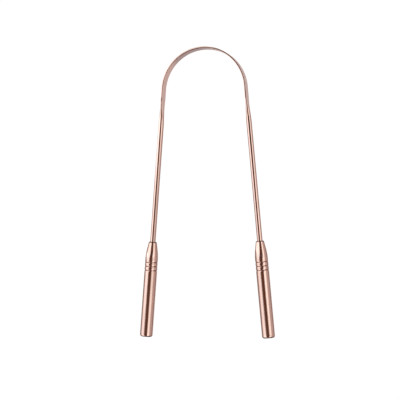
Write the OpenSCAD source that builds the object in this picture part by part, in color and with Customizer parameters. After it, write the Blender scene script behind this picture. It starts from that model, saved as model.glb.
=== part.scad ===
// U-shaped tongue scraper: one copper wire, rolled flat over the bend, with a turned handle on each end.
// It lies flat as on a table: the bend points to +Y, the handles to -Y, and the handles rest on z = 0.

/* [Scraping band] */
// Mean radius of the bend that goes over the tongue
bend_radius = 22.1; // [16:0.1:30]
// Width of the rolled band, from one scraping edge to the other
band_width = 6; // [3.6:0.1:8]
// Thickness of the rolled band
band_thickness = 0.8; // [0.4:0.05:1.2]
// Flat band that runs straight on past each end of the bend
flat_run = 5; // [2:0.5:20]
// Length over which the flat band turns back into round wire
roll_out_run = 15; // [5:0.5:20]

/* [Wire legs] */
// Diameter of the wire that the band is rolled from
wire_diameter = 2.8; // [2:0.1:3.6]
// Lean of each leg away from the centre line, in degrees
leg_flare = 4.7; // [0:0.05:10]
// Round wire in the open, between the roll-out and the handle's mouth
open_wire_run = 60.2; // [30:0.1:100]
// Wire held inside each handle
wire_engagement = 14; // [6:0.5:30]
// Chamfer on the cut ends of the wire
wire_end_chamfer = 0.3; // [0.1:0.05:0.8]

/* [Handles] */
// Length of a handle, from its mouth to its free end
handle_length = 49.5; // [38:0.5:80]
// Diameter of the grip
handle_diameter = 6.6; // [5.8:0.1:10]
// Rounding of the edge at the free end
end_round = 0.7; // [0.2:0.05:1.5]

/* [Handle nose] */
// Length over which the handle tapers down to its mouth
nose_length = 9.5; // [6:0.5:16]
// Wall left round the bore at the mouth
mouth_wall = 0.6; // [0.4:0.05:0.9]
// Rounding of the mouth's outer edge
mouth_round = 0.3; // [0.1:0.05:0.3]
// Share of the taper's rise that is the arc which meets the grip, the rest being a cone
nose_arc_share = 0.37; // [0.1:0.01:0.9]

/* [Handle grooves] */
// Number of grooves turned in the grip behind the nose
groove_count = 3; // [1:1:6]
// From the end of the nose to the middle of the first groove
groove_set_back = 1.3; // [0.6:0.1:4]
// Distance between the middles of two grooves
groove_pitch = 2.1; // [1.2:0.1:4]
// Width of a groove at the surface
groove_width = 0.6; // [0.3:0.05:0.9]
// Depth of a groove
groove_depth = 0.2; // [0.1:0.05:0.4]

/* [Handle bore] */
// Radial clearance between wire and bore, filled by the braze
braze_clearance = 0.05; // [0.02:0.01:0.1]
// Room left in the bore past the end of the wire
bore_end_room = 1; // [0.5:0.1:3]
// Chamfer where the wire enters the bore
bore_lead = 0.1; // [0.05:0.05:0.2]
// Angle of the cone that the drill leaves, in degrees
drill_point_angle = 118; // [90:1:140]

/* [Hidden] */
$fn = 96;
LEFT = -1;
RIGHT = 1;
LOOP_COPPER = "#c08672";
HANDLE_COPPER = "#c48d79";

// Share of the square of its thickness that a section loses to its full-round edges
ROUND_EDGE_LOSS = 1 - PI / 4;

// Steps in each round stretch of the handle's outline
arc_steps = 8;

// The flat run and the roll-out are one loft of rings, which ends just inside the bend and the wire
loft_sides = 32;
loft_steps = 12;
loft_inset = 0.005;
loft_overlap = 0.2;
loft_run = flat_run + roll_out_run;

wire_radius = wire_diameter / 2;
handle_radius = handle_diameter / 2;
leg_run = loft_run + open_wire_run;

// The bend ends where the leaning legs are tangent to it
bend_sweep = 180 - 2 * leg_flare;
bend_top = bend_radius + band_thickness / 2;
leg_foot = bend_radius * sin(leg_flare) - (leg_run + handle_length) * cos(leg_flare);
handle_foot = leg_foot - (handle_radius - end_round) * sin(leg_flare) - end_round * (1 - cos(leg_flare));

// The origin is under the middle of the part's bounding box
bend_centre_y = -(bend_top + handle_foot) / 2;
wire_axis_z = handle_radius;

// The nose is a cone from the mouth, then an arc tangent to both the cone and the grip
bore_radius = wire_radius + braze_clearance;
mouth_radius = bore_radius + mouth_wall;
nose_rise = handle_radius - mouth_radius;
arc_rise = nose_rise * nose_arc_share;
cone_rise = nose_rise - arc_rise;
half_turn_tan = (sqrt(nose_length ^ 2 + cone_rise * (nose_rise + arc_rise)) - nose_length) / cone_rise;
nose_turn = 2 * atan(half_turn_tan);
nose_arc_radius = arc_rise / (1 - cos(nose_turn));
mouth_round_x = mouth_radius - mouth_round * (1 - sin(nose_turn)) / cos(nose_turn);

// A groove is the part of a circle that lies under the surface
groove_radius = (groove_width ^ 2 / 4 + groove_depth ^ 2) / (2 * groove_depth);

bore_depth = wire_engagement + bore_end_room;
drill_point_length = bore_radius / tan(drill_point_angle / 2);

// Points along an arc, between two angles from the x axis
function arc(centre, radius, start, finish) = [
    for (k = [0 : arc_steps])
        let (angle = start + (finish - start) * k / arc_steps)
        centre + radius * [cos(angle), sin(angle)]
];

// Size of the wire's section at a share of the roll-out, from 0 on the flat band to 1 on the round wire.
// Rolling moves the metal sideways, so the width follows from the section's thickness and its area.
function eased(share) = (1 - cos(180 * share)) / 2;
function between(start, finish, share) = start + (finish - start) * eased(share);
function section_area(width, thickness) = width * thickness - ROUND_EDGE_LOSS * thickness ^ 2;
function thickness(share) = between(band_thickness, wire_diameter, share);
function area(share) = between(
    section_area(band_width, band_thickness), section_area(wire_diameter, wire_diameter), share
);
function half_thickness(share) = thickness(share) / 2;
function half_width(share) = (area(share) / thickness(share) + ROUND_EDGE_LOSS * thickness(share)) / 2;

// Ring of points round that section: two half circles, drawn apart by the section's flat sides
function section_ring(share, z) = [
    for (i = [0 : loft_sides - 1])
        let (
            turn = 360 * (i + 0.5) / loft_sides,
            edge_radius = half_thickness(share) - loft_inset,
            edge_centre = sign(sin(turn)) * (half_width(share) - half_thickness(share))
        )
        [edge_radius * cos(turn), edge_centre + edge_radius * sin(turn), z]
];

// Each ring's share of the roll-out and its place along the leg
loft_stations = [
    [0, -loft_overlap],
    for (k = [0 : loft_steps]) [k / loft_steps, flat_run + roll_out_run * k / loft_steps],
    [1, loft_run + loft_overlap]
];

// Triangles that join ring k of a loft to the next ring
function ring_band(k, sides) = [
    for (i = [0 : sides - 1])
        let (here = k * sides + i, beside = k * sides + (i + 1) % sides)
        each [[here, here + sides, beside], [beside, here + sides, beside + sides]]
];

// Puts its children on a leg's axis: z runs down the leg from the bend, x points away from the centre line
module on_leg(side, distance = 0) {
    mirror([side == LEFT ? 1 : 0, 0, 0])
        translate([0, bend_centre_y, wire_axis_z])
            rotate([0, 0, leg_flare])
                translate([bend_radius, -distance, 0])
                    rotate([90, 0, 0])
                        children();
}

// Flat band in section: thickness along x, width along y, with its rolled edges full round
module band_section() {
    edge_offset = (band_width - band_thickness) / 2;
    square([band_thickness, 2 * edge_offset], center = true);
    for (edge = [-edge_offset, edge_offset])
        translate([0, edge])
            circle(d = band_thickness);
}

// The band round the bend
module bend() {
    translate([0, bend_centre_y, wire_axis_z])
        rotate([0, 0, leg_flare])
            rotate_extrude(angle = bend_sweep)
                translate([bend_radius, 0])
                    band_section();
}

// The flat run past the bend, and its change back into round wire
module roll_out() {
    last_station = len(loft_stations) - 1;
    polyhedron(
        points = [for (station = loft_stations) each section_ring(station[0], station[1])],
        faces = [
            [for (i = [0 : loft_sides - 1]) i],
            for (k = [0 : last_station - 1]) each ring_band(k, loft_sides),
            [for (i = [loft_sides - 1 : -1 : 0]) last_station * loft_sides + i]
        ]
    );
}

// Round wire from the roll-out down into the handle
module wire_leg() {
    full_run = open_wire_run + wire_engagement - wire_end_chamfer;
    cylinder(h = full_run, r = wire_radius);
    translate([0, 0, full_run])
        cylinder(h = wire_end_chamfer, r1 = wire_radius, r2 = wire_radius - wire_end_chamfer);
}

module scraper_loop() {
    color(LOOP_COPPER) {
        bend();
        for (side = [LEFT, RIGHT]) {
            on_leg(side)
                roll_out();
            on_leg(side, loft_run)
                wire_leg();
        }
    }
}

// Half of the handle's outline: x is the radius and y runs from the mouth to the free end
module handle_outline() {
    polygon([
        [0, 0],
        each arc([mouth_round_x, mouth_round], mouth_round, -90, -nose_turn),
        each arc([handle_radius - nose_arc_radius, nose_length], nose_arc_radius, -nose_turn, 0),
        each arc([handle_radius - end_round, handle_length - end_round], end_round, 0, 90),
        [0, handle_length]
    ]);
}

// Half of the blind bore's outline, with its lead-in and the cone left by the drill
module bore_outline() {
    polygon([
        [0, 0],
        [bore_radius + bore_lead, 0],
        [bore_radius, bore_lead],
        [bore_radius, bore_depth],
        [0, bore_depth + drill_point_length]
    ]);
}

module groove_outline(index) {
    translate([
        handle_radius - groove_depth + groove_radius,
        nose_length + groove_set_back + index * groove_pitch
    ])
        circle(groove_radius);
}

// Handle turned from bar, with its mouth at the origin
module handle_body() {
    rotate_extrude()
        difference() {
            handle_outline();
            bore_outline();
            for (index = [0 : groove_count - 1])
                groove_outline(index);
        }
}

module left_handle() {
    color(HANDLE_COPPER)
        on_leg(LEFT, leg_run)
            handle_body();
}

module right_handle() {
    color(HANDLE_COPPER)
        on_leg(RIGHT, leg_run)
            handle_body();
}

scraper_loop();
left_handle();
right_handle();
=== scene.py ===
"""Tongue scraper: one copper wire, rolled flat over the bend, with a turned handle on each end.

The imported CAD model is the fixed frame. The wire and the handles are made again here with finer
forms and a polished copper finish. They lie on a white light table between two large soft boxes,
as in the photograph. All lengths are in metres and all places are in the row frame.
"""

from __future__ import annotations

import logging
from dataclasses import dataclass
from enum import Enum
from math import atan2, cos, degrees, pi, radians, sin, tan, tau
from typing import Any, Union

import bmesh
import bpy
from mathutils import Matrix, Vector


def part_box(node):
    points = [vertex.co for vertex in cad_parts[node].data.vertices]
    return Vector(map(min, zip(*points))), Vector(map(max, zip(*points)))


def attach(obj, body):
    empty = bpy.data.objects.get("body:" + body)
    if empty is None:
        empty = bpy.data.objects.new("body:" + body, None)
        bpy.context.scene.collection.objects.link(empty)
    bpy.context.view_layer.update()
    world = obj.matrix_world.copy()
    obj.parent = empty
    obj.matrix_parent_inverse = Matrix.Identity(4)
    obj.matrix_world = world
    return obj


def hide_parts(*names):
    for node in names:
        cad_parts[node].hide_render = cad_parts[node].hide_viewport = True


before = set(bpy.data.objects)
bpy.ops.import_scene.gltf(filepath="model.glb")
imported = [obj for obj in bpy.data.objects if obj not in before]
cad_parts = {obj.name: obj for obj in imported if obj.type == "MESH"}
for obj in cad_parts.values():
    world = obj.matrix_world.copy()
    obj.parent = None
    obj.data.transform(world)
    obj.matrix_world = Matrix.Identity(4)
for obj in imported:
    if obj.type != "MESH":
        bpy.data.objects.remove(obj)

LOG = logging.getLogger("tongue_scraper")
MM = 0.001
LAY = "lay"
NOISE_ROUGHNESS = 0.55
SMOOTH_ANGLE = radians(32)
WELD_DISTANCE = 0.0001 * MM


class Side(Enum):
    """The side of the centre line on which a leg, its handle or a light lies."""

    LEFT = -1
    RIGHT = 1


class Slot(Enum):
    """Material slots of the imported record."""

    LOOP = "loop_copper"
    HANDLE = "handle_copper"


@dataclass(frozen=True)
class Shade:
    """A socket of a node tree, on which Python's operators add Math nodes."""

    board: "ShaderBoard"
    socket: bpy.types.NodeSocket

    def _math(self, operation: str, *values: "Value") -> "Shade":
        """Adds one Math node with these inputs and gives its result."""
        node = self.board.node("ShaderNodeMath", {"operation": operation}, dict(enumerate(values)))
        return self.board.output(node)

    def __add__(self, other: "Value") -> "Shade":
        """Sum of the two."""
        return self._math("ADD", self, other)

    def __radd__(self, other: "Value") -> "Shade":
        """Sum of the two, with this one second."""
        return self._math("ADD", other, self)

    def __rsub__(self, other: "Value") -> "Shade":
        """The other less this."""
        return self._math("SUBTRACT", other, self)

    def __mul__(self, other: "Value") -> "Shade":
        """Product of the two."""
        return self._math("MULTIPLY", self, other)

    def __rmul__(self, other: "Value") -> "Shade":
        """Product of the two, with this one second."""
        return self._math("MULTIPLY", other, self)

    def __pow__(self, other: "Value") -> "Shade":
        """This to the power of the other."""
        return self._math("POWER", self, other)

    def __abs__(self) -> "Shade":
        """Size of this without its sign."""
        return self._math("ABSOLUTE", self)

    def bearing(self, ahead: "Shade") -> "Shade":
        """Angle, in degrees, of a direction that goes this far sideways and the other far ahead."""
        return self._math("ARCTAN2", self, ahead) * degrees(1)

    def rises(self, start: float, finish: float) -> "Shade":
        """Smooth step from 0 at one value of this to 1 at another.

        Args:
            start: value of this where the step begins.
            finish: value of this where it is complete.

        Returns:
            The step, from 0 to 1.
        """
        settings = {"interpolation_type": "SMOOTHSTEP"}
        node = self.board.node("ShaderNodeMapRange", settings, {0: self, 1: start, 2: finish})
        return self.board.output(node)

    def falls(self, start: float, finish: float) -> "Shade":
        """Smooth step from 1 at one value of this to 0 at another."""
        return 1 - self.rises(start, finish)


Value = Union[float, Shade]
Span = tuple[float, float]
Triple = tuple[float, float, float]
Colour = Triple
Light = Union[Colour, Shade]
Inputs = dict[Union[int, str], Any]
WHITE: Colour = (1.0, 1.0, 1.0)


@dataclass(frozen=True)
class ShaderBoard:
    """A node tree, and the one method by which nodes are added to it."""

    tree: bpy.types.NodeTree

    @classmethod
    def of(cls, owner: Union[bpy.types.Material, bpy.types.World]) -> "ShaderBoard":
        """Gives a material or a world an empty node tree.

        Args:
            owner: the material or world.

        Returns:
            The board of its tree.
        """
        owner.use_nodes = True
        owner.node_tree.nodes.clear()
        return cls(owner.node_tree)

    def node(self, kind: str, settings: dict[str, Any], inputs: Inputs) -> bpy.types.Node:
        """Adds a node.

        Args:
            kind: type name of the node.
            settings: the node's own properties, which are set first.
            inputs: number, colour or Shade for each input socket, by its name or number.

        Returns:
            The new node.
        """
        node = self.tree.nodes.new(kind)
        for name, value in settings.items():
            setattr(node, name, value)
        for key, value in inputs.items():
            socket = node.inputs[key]
            if isinstance(value, Shade):
                self.tree.links.new(value.socket, socket)
            elif socket.type == "RGBA":
                socket.default_value = (*value, 1.0)
            else:
                socket.default_value = value
        return node

    def output(self, node: bpy.types.Node, name: Union[str, int] = 0) -> Shade:
        """One output of a node, ready for expressions."""
        return Shade(self, node.outputs[name])

    def axes(self, vector: Shade) -> tuple[Shade, Shade, Shade]:
        """The x, y and z of a vector."""
        node = self.node("ShaderNodeSeparateXYZ", {}, {0: vector})
        return self.output(node, 0), self.output(node, 1), self.output(node, 2)

    def scaled(self, vector: Shade, scale: Triple) -> Shade:
        """A vector with each of its axes multiplied by its own number."""
        node = self.node("ShaderNodeVectorMath", {"operation": "MULTIPLY"}, {0: vector, 1: scale})
        return self.output(node)

    def reach(self, vector: Shade, axis: Triple) -> Shade:
        """How far a vector goes along an axis."""
        node = self.node("ShaderNodeVectorMath", {"operation": "DOT_PRODUCT"}, {0: vector, 1: axis})
        return self.output(node, "Value")

    def noise(self, vector: Shade, scale: Triple, detail: float = 2.0) -> Shade:
        """Fractal noise, from 0 to 1.

        Args:
            vector: place on the piece, in metres.
            scale: features per metre along each axis.
            detail: number of octaves.

        Returns:
            The noise.
        """
        place = self.scaled(vector, scale)
        inputs = {"Vector": place, "Scale": 1.0, "Detail": detail, "Roughness": NOISE_ROUGHNESS}
        return self.output(self.node("ShaderNodeTexNoise", {}, inputs))

    def mixed(self, factor: Value, first: Light, second: Light) -> Shade:
        """Mixes two colours.

        Args:
            factor: share of the second colour.
            first: colour at 0.
            second: colour at 1.

        Returns:
            The mixed colour.
        """
        # The node has sockets for each type: inputs 6 and 7 and output 2 are those for colours
        node = self.node("ShaderNodeMix", {"data_type": "RGBA"}, {0: factor, 6: first, 7: second})
        return self.output(node, 2)

    def principled(self, inputs: Inputs) -> None:
        """Ends a material's tree with a Principled shader that has these inputs."""
        shader = self.node("ShaderNodeBsdfPrincipled", {}, inputs)
        self.node("ShaderNodeOutputMaterial", {}, {"Surface": self.output(shader)})


@dataclass(frozen=True)
class Wear:
    """How the finish and the painted shade change over a piece, as masks from 0 to 1."""

    satin: Value = 0.0
    # Real tarnish and stains, and also the painted shade in a handle's grooves
    tarnish_and_shade: Value = 0.0
    # Painted shade: the dark line at a handle's mouth, where the wire goes in
    painted_shade: Value = 0.0
    tool_marks: Value = 0.0


@dataclass(frozen=True)
class CopperFinish:
    """Polished copper with a grain that follows the metal's own length.

    The pattern reads each point's place in the straight, unbent piece: x and y across it and z
    along it. Scales are features per metre on those axes. A range is two values of a noise,
    between which its mask goes from 0 to 1. The grain is the height of the relief.
    """

    name: str
    bright: Colour = (0.90, 0.60, 0.51)
    # Colour of tarnish, also used for the painted shade in a handle's grooves
    tarnish_and_shade_colour: Colour = (0.36, 0.165, 0.12)
    satin: Colour = (0.92, 0.64, 0.55)
    # Colour of the painted shade at a handle's mouth
    painted_shade_colour: Colour = (0.13, 0.075, 0.06)
    polish: float = 0.11
    satin_roughness: float = 0.15
    tarnish_and_shade_roughness: float = 0.22
    streak_roughness: float = 0.10
    tarnish_and_shade_share: float = 0.75
    cloud_tarnish: float = 0.11
    cloud_scale: Triple = (160.0, 160.0, 90.0)
    cloud_range: Span = (0.40, 0.75)
    streak_scale: Triple = (6000.0, 6000.0, 120.0)
    grain: float = 3e-6

    def material(self) -> bpy.types.Material:
        """Makes the node material of this finish.

        Returns:
            The material.
        """
        material = bpy.data.materials.new(self.name)
        board = ShaderBoard.of(material)
        lay = board.output(board.node("ShaderNodeAttribute", {"attribute_name": LAY}, {}), "Vector")
        wear = self.wear(board, lay)
        clouds = board.noise(lay, self.cloud_scale).rises(*self.cloud_range)
        streaks = board.noise(lay, self.streak_scale)
        # Darkening from tarnish clouds and stains, and the painted shade in the grooves
        darkening = clouds * self.cloud_tarnish + wear.tarnish_and_shade * self.tarnish_and_shade_share
        tone = board.mixed(darkening, self.bright, self.tarnish_and_shade_colour)
        # Painted shade at a handle's mouth, where the wire goes in
        tone = board.mixed(wear.painted_shade, tone, self.painted_shade_colour)
        roughness = self.polish + streaks * self.streak_roughness
        roughness += wear.satin * (self.satin_roughness - self.polish)
        roughness += wear.tarnish_and_shade * (self.tarnish_and_shade_roughness - self.polish)
        relief = {"Strength": 1.0, "Distance": self.grain, "Height": streaks + wear.tool_marks}
        board.principled({
            "Base Color": board.mixed(wear.satin, tone, self.satin),
            "Metallic": 1.0,
            "Roughness": roughness,
            "Normal": board.output(board.node("ShaderNodeBump", {}, relief)),
        })
        return material

    def wear(self, board: ShaderBoard, lay: Shade) -> Wear:
        """How the finish changes over the piece, read from the place in the straight piece."""
        return Wear()


@dataclass(frozen=True, kw_only=True)
class WireFinish(CopperFinish):
    """Drawn wire, bright on its legs and on the band's edges, and satin on the band's faces."""

    band_end: float
    round_start: float
    band_half_width: float
    polish: float = 0.05
    streak_roughness: float = 0.05
    grain: float = 1e-6
    bright_edge: float = 0.15 * MM
    stain_scale: Triple = (700.0, 700.0, 40.0)
    stain_range: Span = (0.62, 0.80)
    stain_tarnish: float = 0.3

    def wear(self, board: ShaderBoard, lay: Shade) -> Wear:
        """Satin that fades out at the band's edges and along the roll-out, and a few long stains.

        Args:
            board: the material's node tree.
            lay: place in the straight piece.

        Returns:
            The masks.
        """
        _, up, along = board.axes(lay)
        edge_start = self.band_half_width - self.bright_edge
        face = abs(up).falls(edge_start - self.bright_edge, edge_start)
        band = abs(along).falls(self.band_end, self.round_start)
        stains = board.noise(lay, self.stain_scale).rises(*self.stain_range)
        return Wear(satin=band * face, tarnish_and_shade=stains * self.stain_tarnish)


@dataclass(frozen=True, kw_only=True)
class TurnedFinish(CopperFinish):
    """Lathe-turned bar, with painted shade in its grooves and a dark line of painted shade at its
    mouth.

    The painted shade of a groove fades out between two shares of its depth.
    """

    grip_radius: float
    groove_start: float
    groove_depth: float
    # Painted shade in a groove fades out between these shares of its depth
    groove_shade_depths: Span = (0.8, 0.2)
    groove_fade: float = 0.1 * MM
    # Painted shade at the mouth fades out between these distances from it
    mouth_shade: Span = (0.35 * MM, 0.65 * MM)
    ring_scale: Triple = (60.0, 60.0, 9000.0)
    ring_detail: float = 3.0

    def wear(self, board: ShaderBoard, lay: Shade) -> Wear:
        """Painted shade in the grooves and at the mouth, and fine rings left by the tool.

        Args:
            board: the material's node tree.
            lay: place in the straight piece.

        Returns:
            The masks.
        """
        x, y, along = board.axes(lay)
        radius = (x * x + y * y) ** 0.5
        sunk = [self.grip_radius - share * self.groove_depth for share in self.groove_shade_depths]
        past_nose = along.rises(self.groove_start - self.groove_fade, self.groove_start)
        # Painted shade in the grooves and at the mouth, and the rings left by the tool
        return Wear(
            tarnish_and_shade=radius.falls(*sunk) * past_nose,
            painted_shade=along.falls(*self.mouth_shade),
            tool_marks=board.noise(lay, self.ring_scale, self.ring_detail),
        )


@dataclass(frozen=True)
class LightTableFinish:
    """White acrylic, lit from below."""

    name: str = "white_acrylic"
    tint: Colour = (0.1, 0.1, 0.1)
    glow: float = 0.97

    def material(self) -> bpy.types.Material:
        """Makes the node material of this finish.

        Returns:
            The material.
        """
        material = bpy.data.materials.new(self.name)
        ShaderBoard.of(material).principled({
            "Base Color": self.tint,
            "Roughness": 1.0,
            "Specular IOR Level": 0.0,
            "Emission Color": WHITE,
            "Emission Strength": self.glow,
        })
        return material


def new_object(
    name: str, shape: bmesh.types.BMesh, material: bpy.types.Material
) -> bpy.types.Object:
    """Turns a finished bmesh into an object of the scene.

    Args:
        name: name of the object.
        shape: its mesh in the row frame, which is freed.
        material: its finish.

    Returns:
        The object, at the origin.
    """
    mesh = bpy.data.meshes.new(name)
    shape.to_mesh(mesh)
    shape.free()
    mesh.materials.append(material)
    made = bpy.data.objects.new(name, mesh)
    bpy.context.scene.collection.objects.link(made)
    return made


def finished_piece(
    name: str, shape: bmesh.types.BMesh, material: bpy.types.Material
) -> bpy.types.Object:
    """Turns a finished bmesh into a smooth-shaded piece with its material and body.

    Args:
        name: name of the piece.
        shape: its mesh in the row frame, which is freed.
        material: its finish.

    Returns:
        The piece.
    """
    bmesh.ops.recalc_face_normals(shape, faces=shape.faces[:])
    piece = new_object(name, shape, material)
    piece.data.shade_smooth()
    piece.data.set_sharp_from_angle(angle=SMOOTH_ANGLE)
    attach(piece, "root")
    return piece


def note_lay(shape: bmesh.types.BMesh) -> None:
    """Keeps each point's place in the straight piece as an attribute, for the finish's pattern.

    Args:
        shape: the straight piece, in its own axes.
    """
    lay = shape.verts.layers.float_vector.new(LAY)
    for vert in shape.verts:
        vert[lay] = vert.co


@dataclass
class BendPath:
    """The line that the wire follows: a bend over the tongue and two legs tangent to it."""

    crown: Vector
    radius: float = 22.1 * MM
    flare: float = radians(4.7)

    @property
    def centre(self) -> Vector:
        """Centre of the bend."""
        return self.crown - Vector((0, self.radius, 0))

    @property
    def half_bend(self) -> float:
        """Length of the line from the crown to where a leg begins."""
        return self.radius * (pi / 2 - self.flare)

    def outward(self, side: Side) -> Vector:
        """Direction square to a leg, away from the centre line."""
        return Vector((side.value * cos(self.flare), sin(self.flare), 0))

    def down(self, side: Side) -> Vector:
        """Direction down a leg."""
        return Vector((side.value * sin(self.flare), -cos(self.flare), 0))

    def placed(self, straight: Vector) -> Vector:
        """Bends a point of the straight wire to its place.

        Args:
            straight: outward, up and along the wire from the crown.

        Returns:
            The point in the row frame.
        """
        outward, up, along = straight
        side = Side.RIGHT if along > 0 else Side.LEFT
        past = abs(along) - self.half_bend
        if past > 0:
            foot = self.outward(side) * (self.radius + outward) + self.down(side) * past
        else:
            turn = along / self.radius
            foot = Vector((sin(turn), cos(turn), 0)) * (self.radius + outward)
        return self.centre + foot + Vector((0, 0, up))

    def on_leg(self, side: Side, distance: float) -> Matrix:
        """Frame on a leg's line: x points outward and z runs down the leg.

        Args:
            side: the leg.
            distance: from the end of the bend down to the frame's origin.

        Returns:
            The frame as a matrix.
        """
        outward, down = self.outward(side), self.down(side)
        origin = self.centre + outward * self.radius + down * distance
        turn = Matrix((outward, down.cross(outward), down)).transposed()
        return Matrix.Translation(origin) @ turn.to_4x4()


@dataclass
class ScraperLoop:
    """The wire, rolled flat over the bend and round down both legs.

    The bulge is how far the band's rounded edge stands beyond its flat faces.
    """

    path: BendPath
    wire_radius: float = 1.4 * MM
    band_half_width: float = 3.0 * MM
    band_half_thickness: float = 0.4 * MM
    band_edge_bulge: float = 0.12 * MM
    flat_run: float = 5.0 * MM
    roll_out_run: float = 15.0 * MM
    open_wire_run: float = 60.2 * MM
    engagement: float = 14.0 * MM
    end_chamfer: float = 0.3 * MM
    sides: int = 128
    cuts: int = 420

    @property
    def leg_run(self) -> float:
        """Length of a leg from the end of the bend to the handle's mouth."""
        return self.flat_run + self.roll_out_run + self.open_wire_run

    def drawn_wire(self) -> bmesh.types.BMesh:
        """Makes the straight round wire, with its ends chamfered.

        Returns:
            The wire along z, with the crown at the origin.
        """
        half = self.path.half_bend + self.leg_run + self.engagement
        shape = bmesh.new()
        bmesh.ops.create_cone(
            shape, cap_ends=True, segments=self.sides,
            radius1=self.wire_radius, radius2=self.wire_radius, depth=2 * half,
        )
        long_edges = [
            edge for edge in shape.edges if abs(edge.verts[0].co.z - edge.verts[1].co.z) > half
        ]
        rims = [edge for edge in shape.edges if edge not in long_edges]
        bmesh.ops.subdivide_edges(shape, edges=long_edges, cuts=self.cuts, use_grid_fill=True)
        bmesh.ops.bevel(
            shape, geom=rims, offset=self.end_chamfer,
            affect="EDGES", segments=1, profile=0.5, material=-1,
        )
        return shape

    def section(self, along: float) -> Triple:
        """Size of the wire's section at a place along it.

        Rolling moves the metal sideways, so the width follows from the thickness and the area.

        Args:
            along: place along the wire, from the crown.

        Returns:
            Half of the thickness, half of the width, and the bulge of the rounded edge.
        """
        past = (abs(along) - self.path.half_bend - self.flat_run) / self.roll_out_run
        eased = (1 - cos(pi * min(max(past, 0.0), 1.0))) / 2
        round_edge_loss = 1 - pi / 4
        band_quarter = self.band_half_thickness * (
            self.band_half_width - round_edge_loss * self.band_half_thickness
        )
        quarter_area = band_quarter + (self.wire_radius ** 2 * pi / 4 - band_quarter) * eased
        thickness = self.band_half_thickness + (self.wire_radius - self.band_half_thickness) * eased
        bulge = self.band_edge_bulge + (self.wire_radius - self.band_edge_bulge) * eased
        return thickness, quarter_area / thickness + round_edge_loss * thickness, bulge

    def rolled(self, point: Vector) -> Vector:
        """Rolls a point of the round wire to the section that the wire has at its place.

        The section is two rounded edges drawn apart by flat sides. A point keeps its share of
        the way round.

        Args:
            point: point of the straight wire.

        Returns:
            The point of the rolled wire.
        """
        thickness, width, bulge = self.section(point.z)
        flat = width - bulge
        quarter_round = flat + thickness * pi / 2
        run = quarter_round * atan2(abs(point.y), abs(point.x)) / (pi / 2)
        turn = max(run - flat, 0.0) / thickness
        size = point.xy.length / self.wire_radius
        across, up = size * thickness * cos(turn), size * (min(run, flat) + bulge * sin(turn))
        return Vector((across if point.x > 0 else -across, up if point.y > 0 else -up, point.z))

    def build(self) -> bpy.types.Object:
        """Draws the wire, rolls it, bends it and dresses it.

        Returns:
            The piece.
        """
        shape = self.drawn_wire()
        for vert in shape.verts:
            vert.co = self.rolled(vert.co)
        note_lay(shape)
        for vert in shape.verts:
            vert.co = self.path.placed(vert.co)
        band_end = self.path.half_bend + self.flat_run
        finish = WireFinish(
            "rolled_copper_wire", band_end=band_end, round_start=band_end + self.roll_out_run,
            band_half_width=self.band_half_width,
        )
        piece = finished_piece("rolled_loop", shape, finish.material())
        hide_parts("scraper_loop")
        return piece


@dataclass(frozen=True)
class Corner:
    """A corner of a turned outline."""

    along: float
    radius: float
    rounding: float = 0.0
    segments: int = 6


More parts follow.
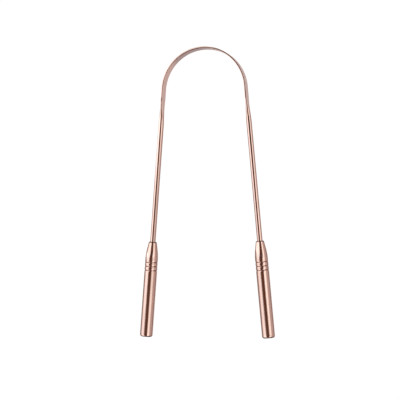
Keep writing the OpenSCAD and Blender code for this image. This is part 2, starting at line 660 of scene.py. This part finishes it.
@dataclass
class TurnedHandle:
    """A handle turned from bar: bore, tapered nose, grooves, plain grip and rounded free end.

    The lands between the grooves are slightly crowned and the lips of the grooves are softened. A
    groove's corner is drawn deeper than the groove, by the overcut, because its rounding fills it.
    A run that is longer than a facet, by more than the slack, is divided into facets.
    """

    side: Side
    node: str
    path: BendPath
    mouth_distance: float
    length: float = 49.5 * MM
    grip_radius: float = 3.3 * MM
    end_round: float = 1.1 * MM
    nose_length: float = 9.5 * MM
    nose_arc_share: float = 0.37
    bore_radius: float = 1.45 * MM
    bore_lead: float = 0.1 * MM
    bore_depth: float = 15.0 * MM
    drill_point_angle: float = radians(118)
    mouth_wall: float = 0.6 * MM
    mouth_round: float = 0.45 * MM
    groove_count: int = 3
    groove_set_back: float = 1.3 * MM
    groove_pitch: float = 2.1 * MM
    groove_width: float = 0.72 * MM
    groove_depth: float = 0.2 * MM
    groove_overcut: float = 1.3
    lip_round: float = 0.16 * MM
    land_crown: float = 0.03 * MM
    land_round: float = 0.5 * MM
    nose_segments: int = 24
    end_segments: int = 10
    sides: int = 128
    facet_length: float = 0.8 * MM
    facet_slack: float = 1.5

    @property
    def first_groove(self) -> float:
        """Distance from the mouth to the middle of the first groove."""
        return self.nose_length + self.groove_set_back

    def bore_and_nose(self) -> list[Corner]:
        """Corners of the outline from the bottom of the bore, round the mouth and up the nose.

        Returns:
            The corners in order.
        """
        nose_corner = self.nose_length / (1 + self.nose_arc_share)
        drill_point = self.bore_radius / tan(self.drill_point_angle / 2)
        nose_round = self.nose_length - nose_corner
        return [
            Corner(self.bore_depth + drill_point, 0.0),
            Corner(self.bore_depth, self.bore_radius),
            Corner(self.bore_lead, self.bore_radius),
            Corner(0.0, self.bore_radius + self.bore_lead),
            Corner(0.0, self.bore_radius + self.mouth_wall, self.mouth_round),
            Corner(nose_corner, self.grip_radius, nose_round, self.nose_segments),
        ]

    def grooves(self) -> list[Corner]:
        """Corners of the outline along the grooves and the lands between them.

        Returns:
            The corners in order.
        """
        lip_radius = self.grip_radius - self.land_crown
        floor_radius = self.grip_radius - self.groove_overcut * self.groove_depth
        corners: list[Corner] = []
        for index in range(self.groove_count):
            middle = self.first_groove + index * self.groove_pitch
            if index > 0:
                land_middle = middle - self.groove_pitch / 2
                corners.append(Corner(land_middle, self.grip_radius, self.land_round))
            corners += [
                Corner(middle - self.groove_width / 2, lip_radius, self.lip_round),
                Corner(middle, floor_radius, self.lip_round),
                Corner(middle + self.groove_width / 2, lip_radius, self.lip_round),
            ]
        return corners

    def grip(self) -> list[Corner]:
        """Corners of the outline from the last groove to the middle of the free end.

        Returns:
            The corners in order.
        """
        last_groove = self.first_groove + (self.groove_count - 1) * self.groove_pitch
        return [
            Corner(last_groove + self.groove_width, self.grip_radius, self.lip_round),
            Corner(self.length, self.grip_radius, self.end_round, self.end_segments),
            Corner(self.length, 0.0),
        ]

    def outline(self) -> bmesh.types.BMesh:
        """Draws half of the outline, with its corners rounded and its long runs divided.

        Returns:
            The outline in the plane y = 0, with the mouth at z = 0.
        """
        shape = bmesh.new()
        corners = self.bore_and_nose() + self.grooves() + self.grip()
        verts = [shape.verts.new((corner.radius, 0.0, corner.along)) for corner in corners]
        for pair in zip(verts, verts[1:]):
            shape.edges.new(pair)
        for corner, vert in zip(corners, verts):
            if corner.rounding:
                bmesh.ops.bevel(
                    shape, geom=[vert], offset=corner.rounding, offset_type="OFFSET",
                    affect="VERTICES", segments=corner.segments, profile=0.5, material=-1,
                )
        longest = self.facet_slack * self.facet_length
        for edge in [edge for edge in shape.edges if edge.calc_length() > longest]:
            cuts = int(edge.calc_length() / self.facet_length)
            bmesh.ops.subdivide_edges(shape, edges=[edge], cuts=cuts)
        return shape

    def build(self) -> bpy.types.Object:
        """Turns the handle, puts it on its leg and dresses it.

        Returns:
            The piece.
        """
        shape = self.outline()
        bmesh.ops.spin(
            shape, geom=shape.verts[:] + shape.edges[:], cent=(0, 0, 0), axis=(0, 0, 1),
            dvec=(0, 0, 0), angle=tau, steps=self.sides, use_merge=True,
        )
        bmesh.ops.remove_doubles(shape, verts=shape.verts[:], dist=WELD_DISTANCE)
        note_lay(shape)
        bmesh.ops.transform(
            shape, matrix=self.path.on_leg(self.side, self.mouth_distance), verts=shape.verts[:]
        )
        finish = TurnedFinish(
            f"turned_copper_{self.side.name.lower()}", grip_radius=self.grip_radius,
            groove_start=self.first_groove - self.groove_width, groove_depth=self.groove_depth,
        )
        piece = finished_piece(f"turned_{self.node}", shape, finish.material())
        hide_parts(self.node)
        return piece


@dataclass
class PhotographCamera:
    """The camera, placed as a fit of the part's edges to the photograph gave it.

    The turns and the place of the bend's centre are in the camera's own axes.
    """

    bend_centre: Vector
    yaw: float = 0.2707
    pitch: float = -0.0364
    roll: float = 0.0088
    bend_right: float = 2.267 * MM
    bend_up: float = 56.753 * MM
    distance: float = 614.867 * MM
    focal_pixels: float = 1186.3
    image_pixels: float = 400.0
    sensor_width: float = 36.0
    clip: Span = (0.01, 100.0)

    def build(self) -> bpy.types.Object:
        """Makes the camera and gives it to the scene.

        Returns:
            The camera.
        """
        lens = bpy.data.cameras.new("photograph_camera")
        lens.sensor_width = self.sensor_width
        lens.lens = self.sensor_width * self.focal_pixels / self.image_pixels
        lens.clip_start, lens.clip_end = self.clip
        turn = (
            Matrix.Rotation(self.roll, 4, "Z")
            @ Matrix.Rotation(self.pitch, 4, "X")
            @ Matrix.Rotation(-self.yaw, 4, "Y")
        )
        offset = Matrix.Translation((self.bend_right, self.bend_up, -self.distance))
        camera = bpy.data.objects.new("photograph_camera", lens)
        camera.matrix_world = (offset @ turn @ Matrix.Translation(-self.bend_centre)).inverted()
        bpy.context.scene.collection.objects.link(camera)
        bpy.context.scene.camera = camera
        return camera


@dataclass(frozen=True)
class LightStep:
    """A change of the room's light on one side, at angles in degrees from straight overhead."""

    side: Side
    start: float
    finish: float
    colour: Colour


def stepped(
    board: ShaderBoard, bearing: Shade, light: Light, steps: tuple[LightStep, ...]
) -> Light:
    """Changes a light by steps, on both sides of straight overhead.

    Args:
        board: the world's node tree.
        bearing: angle of the mirrored direction from straight overhead, to the right.
        light: the light before the steps.
        steps: the steps in order, each over those before it.

    Returns:
        The light after the steps.
    """
    for step in steps:
        past = (bearing * step.side.value).rises(step.start, step.finish)
        light = board.mixed(past, light, step.colour)
    return light


@dataclass(frozen=True)
class Fade:
    """A smooth step along an axis, between two places that a mirrored direction may reach."""

    axis: Triple
    clear: float
    full: float

    def mask(self, board: ShaderBoard, direction: Shade) -> Shade:
        """Makes the step.

        Args:
            board: the world's node tree.
            direction: the mirrored direction, of length 1.

        Returns:
            The step, from 0 where the fade is clear to 1 where it is full.
        """
        place = board.reach(direction, self.axis)
        if self.full > self.clear:
            return place.rises(self.clear, self.full)
        return place.falls(self.full, self.clear)


@dataclass(frozen=True)
class RoomPart:
    """A part of the room, which lies where all of its fades are full."""

    fades: tuple[Fade, ...]

    def mask(self, board: ShaderBoard, direction: Shade) -> Value:
        """Makes the mask of the part.

        Args:
            board: the world's node tree.
            direction: the mirrored direction, of length 1.

        Returns:
            The mask, from 0 outside the part to 1 inside it.
        """
        mask: Value = 1.0
        for fade in self.fades:
            mask = mask * fade.mask(board, direction)
        return mask


@dataclass(frozen=True)
class Ceiling(RoomPart):
    """A part of the ceiling: a dark gap overhead, and the soft boxes on each side of it."""

    gap: Colour
    steps: tuple[LightStep, ...]

    def light(self, board: ShaderBoard, bearing: Shade) -> Light:
        """Light of this part, by the bearing of the mirrored direction."""
        return stepped(board, bearing, self.gap, self.steps)


@dataclass(frozen=True)
class Patch(RoomPart):
    """A part of the ground or of the walls that has a light of its own."""

    colour: Colour


# Axes of the room, and what several of its parts share
RIGHTWARD: Triple = (1.0, 0.0, 0.0)
FAR: Triple = (0.0, 1.0, 0.0)
FAR_RIGHT: Triple = (0.5, 0.87, 0.0)
UPWARD: Triple = (0.0, 0.0, 1.0)
ON_GROUND = Fade(UPWARD, -0.7, -0.9)
GROUND: Colour = (0.572, 0.525, 0.527)
LEFT_BOX: Colour = (1.33, 1.45, 1.52)
RIGHT_BOX: Colour = (1.35, 1.45, 1.45)
LEFT_WALL: Colour = (0.287, 0.240, 0.209)
BELOW_LEFT_BOX = LightStep(Side.LEFT, 63.0, 108.6, LEFT_WALL)


@dataclass
class Studio:
    """A white light table in a room with a large soft box on each side and a dark gap overhead.

    Each part of the ceiling is named for what mirrors it towards the photograph's camera. From
    near to far along +Y these are the grips, the rods, the band and, because they taper, the
    noses. The part over the rods is also wherever the others aren't.
    """

    table_size: float = 12.0
    table_sides: int = 64
    over_rods: Ceiling = Ceiling(
        fades=(),
        gap=(0.10, 0.035, 0.02),
        steps=(
            LightStep(Side.LEFT, 22.5, 33.0, LEFT_BOX),
            BELOW_LEFT_BOX,
            LightStep(Side.RIGHT, 25.0, 37.0, RIGHT_BOX),
        ),
    )
    over_grips: Ceiling = Ceiling(
        fades=(Fade(FAR, 0.02, -0.05), Fade(FAR, -0.20, -0.06)),
        gap=(0.122, 0.066, 0.037),
        steps=(
            LightStep(Side.LEFT, 13.4, 48.1, (1.01, 1.09, 1.15)),
            BELOW_LEFT_BOX,
            LightStep(Side.RIGHT, 23.0, 45.8, (0.78, 0.84, 0.84)),
        ),
    )
    over_band: Ceiling = Ceiling(
        fades=(Fade(FAR, 0.105, 0.13),),
        gap=(0.04, 0.05, 0.06),
        steps=(
            LightStep(Side.LEFT, 15.0, 18.5, LEFT_BOX),
            LightStep(Side.LEFT, 55.0, 80.0, (2.1, 2.3, 2.4)),
            LightStep(Side.LEFT, 95.0, 112.0, LEFT_WALL),
            LightStep(Side.RIGHT, 34.0, 46.0, RIGHT_BOX),
        ),
    )
    over_noses: Ceiling = Ceiling(
        fades=(Fade(FAR, 0.165, 0.19),),
        gap=(0.115, 0.055, 0.035),
        steps=(
            LightStep(Side.LEFT, 10.0, 20.0, (1.45, 1.55, 1.60)),
            BELOW_LEFT_BOX,
            LightStep(Side.RIGHT, 35.0, 48.0, RIGHT_BOX),
        ),
    )
    walls: tuple[LightStep, ...] = (
        LightStep(Side.LEFT, 124.5, 146.5, (0.22, 0.15, 0.13)),
        LightStep(Side.LEFT, 153.0, 167.0, GROUND),
        LightStep(Side.RIGHT, 57.0, 81.3, (0.518, 0.468, 0.467)),
        LightStep(Side.RIGHT, 114.4, 135.5, (0.15, 0.08, 0.07)),
        LightStep(Side.RIGHT, 135.7, 152.1, GROUND),
    )
    near_ground: Patch = Patch(
        fades=(ON_GROUND, Fade(FAR_RIGHT, -0.08, -0.22), Fade(FAR, -0.04, -0.14)),
        colour=(0.40, 0.38, 0.40),
    )
    left_ground: Patch = Patch(
        fades=(ON_GROUND, Fade(RIGHTWARD, -0.18, -0.28), Fade(FAR, 0.0, 0.10)),
        colour=(0.86, 0.80, 0.81),
    )
    near_end: Patch = Patch(
        fades=(Fade(UPWARD, 0.2, 0.0), Fade(FAR, -0.48, -0.68), Fade(UPWARD, -0.9, -0.7)),
        colour=(0.04, 0.03, 0.024),
    )
    far_end: Patch = Patch(
        fades=(Fade(FAR, 0.35, 0.60), Fade(RIGHTWARD, -0.08, -0.22)),
        colour=(0.50, 0.47, 0.42),
    )

    def light_table(self) -> bpy.types.Object:
        """Makes the pale floor, which glows so that the part throws almost no shadow on it.

        Returns:
            The floor. The metal doesn't mirror it, but the room's ground in its place.
        """
        shape = bmesh.new()
        radius = self.table_size / 2
        bmesh.ops.create_circle(shape, cap_ends=True, segments=self.table_sides, radius=radius)
        table = new_object("light_table", shape, LightTableFinish().material())
        table.visible_glossy = False
        return table

    def room(self) -> bpy.types.World:
        """Makes the light of the room, which is what the polished metal mirrors.

        Returns:
            The world. The camera itself sees it as plain white.
        """
        world = bpy.data.worlds.new("studio_room")
        board = ShaderBoard.of(world)
        direction = board.output(board.node("ShaderNodeTexCoord", {}, {}), "Generated")
        right, _, up = board.axes(direction)
        bearing = right.bearing(up)
        light = self.over_rods.light(board, bearing)
        for ceiling in (self.over_grips, self.over_band, self.over_noses):
            inside = ceiling.mask(board, direction)
            light = board.mixed(inside, light, ceiling.light(board, bearing))
        light = stepped(board, bearing, light, self.walls)
        for patch in (self.near_ground, self.left_ground, self.near_end, self.far_end):
            light = board.mixed(patch.mask(board, direction), light, patch.colour)
        seen = board.output(board.node("ShaderNodeLightPath", {}, {}), "Is Camera Ray")
        colour = board.mixed(seen, light, WHITE)
        background = board.node("ShaderNodeBackground", {}, {"Color": colour})
        board.node("ShaderNodeOutputWorld", {}, {"Surface": board.output(background)})
        bpy.context.scene.world = world
        return world

    def build(self) -> None:
        """Makes the floor and the light, and keeps the render's colours plain."""
        self.light_table()
        self.room()
        bpy.context.scene.view_settings.view_transform = "Standard"


def report(piece: bpy.types.Object, node: str) -> None:
    """Logs a piece's size beside that of the node that it stands for.

    Args:
        piece: the dressed piece.
        node: the CAD node.
    """
    corners = [piece.matrix_world @ Vector(corner) for corner in piece.bound_box]
    places = [[corner[axis] for corner in corners] for axis in range(3)]
    size = [(max(along_axis) - min(along_axis)) / MM for along_axis in places]
    low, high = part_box(node)
    LOG.info(
        "%s: %d faces, %.2f x %.2f x %.2f mm, CAD %.2f x %.2f x %.2f mm",
        piece.name, len(piece.data.polygons), *size, *((high - low) / MM),
    )


def main() -> None:
    """Builds the camera, the studio and the pieces in order, and reports each piece."""
    logging.basicConfig(level=logging.INFO, format="%(name)s: %(message)s")
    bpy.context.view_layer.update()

    loop_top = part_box("scraper_loop")[1]
    handle_low, handle_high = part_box("left_handle")
    axis_height = (handle_low.z + handle_high.z) / 2
    path = BendPath(crown=Vector((0, loop_top.y - ScraperLoop.band_half_thickness, axis_height)))

    PhotographCamera(path.centre).build()
    Studio().build()
    loop = ScraperLoop(path)
    report(loop.build(), "scraper_loop")
    for side, node in ((Side.LEFT, "left_handle"), (Side.RIGHT, "right_handle")):
        report(TurnedHandle(side, node, path, loop.leg_run).build(), node)


if __name__ == "__main__":
    main()
